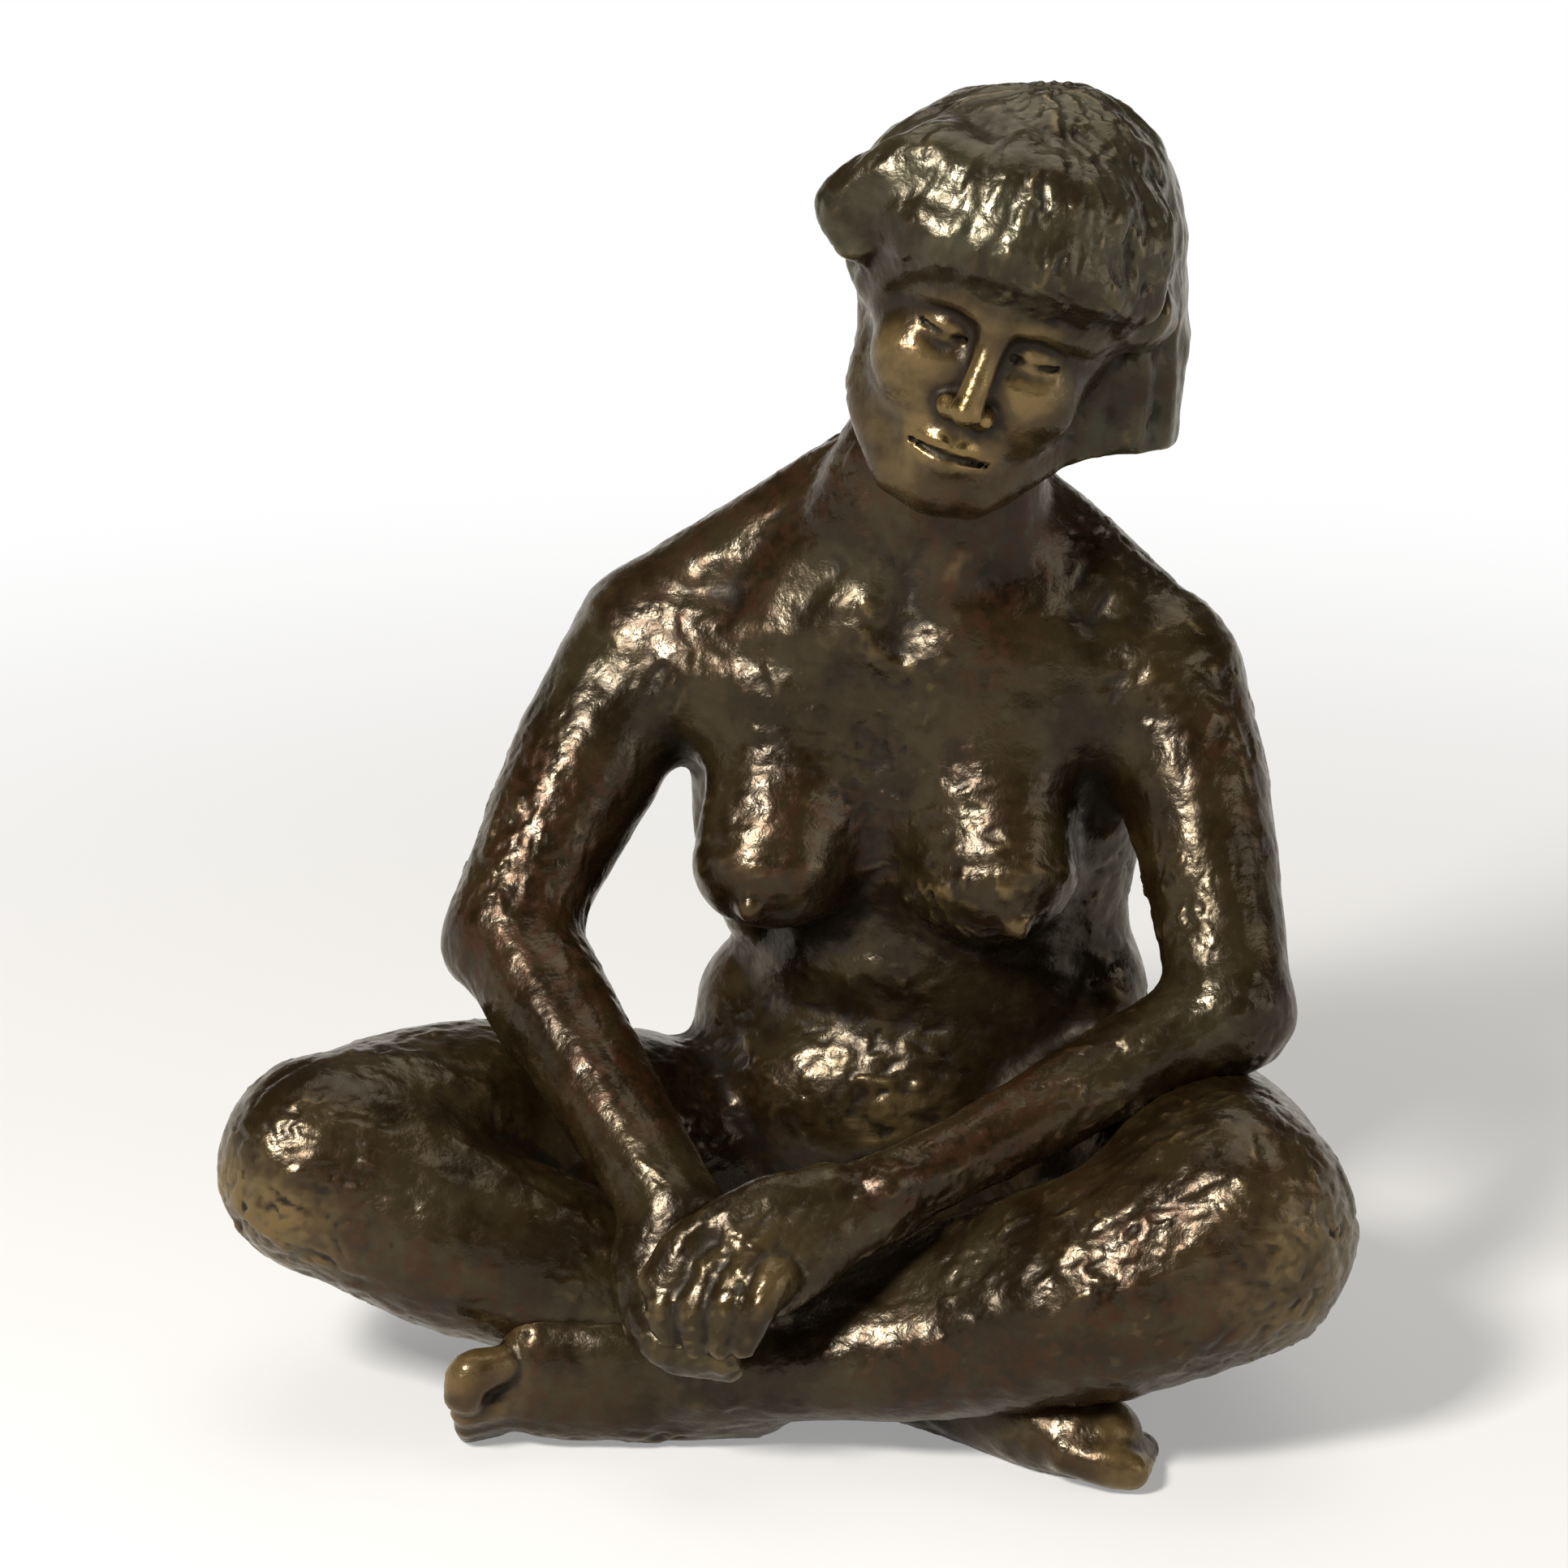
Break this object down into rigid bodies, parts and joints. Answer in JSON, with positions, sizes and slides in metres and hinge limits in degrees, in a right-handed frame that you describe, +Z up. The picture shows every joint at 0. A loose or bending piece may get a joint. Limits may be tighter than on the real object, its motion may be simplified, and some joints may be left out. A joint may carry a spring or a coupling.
{
  "type": "bronze statuette",
  "caption": "Patinated bronze statuette of a cross-legged seated nude with bobbed hair and a tilted head, hands resting together over the shins.",
  "frame": {"origin": "middle of the flat seat, on the surface that the statuette stands on", "axes": "+Z up, -Y towards the figure's front, +X towards the figure's left side"},
  "size_m": [0.2321, 0.1702, 0.2708],
  "materials": {
    "patinated_bronze": "dark brown patina, semi-gloss, worn golden on the high places",
    "bare_bronze": "filed bronze, satin"
  },
  "bodies": {
    "root": {"torso_casting": "patinated_bronze", "head_casting": "patinated_bronze", "right_arm_casting": "patinated_bronze", "left_arm_casting": "patinated_bronze", "right_leg_casting": "patinated_bronze", "left_leg_casting": "patinated_bronze", "neck_pin_1": "bare_bronze", "neck_pin_2": "bare_bronze", "right_shoulder_pin_1": "bare_bronze", "right_shoulder_pin_2": "bare_bronze", "left_shoulder_pin_1": "bare_bronze", "left_shoulder_pin_2": "bare_bronze", "right_hip_pin_1": "bare_bronze", "right_hip_pin_2": "bare_bronze", "left_hip_pin_1": "bare_bronze", "left_hip_pin_2": "bare_bronze", "back_plug": "bare_bronze", "seat_plug": "bare_bronze", "crown_plug": "bare_bronze", "right_thigh_plug": "bare_bronze", "left_thigh_plug": "bare_bronze"}
  },
  "joints": []
}
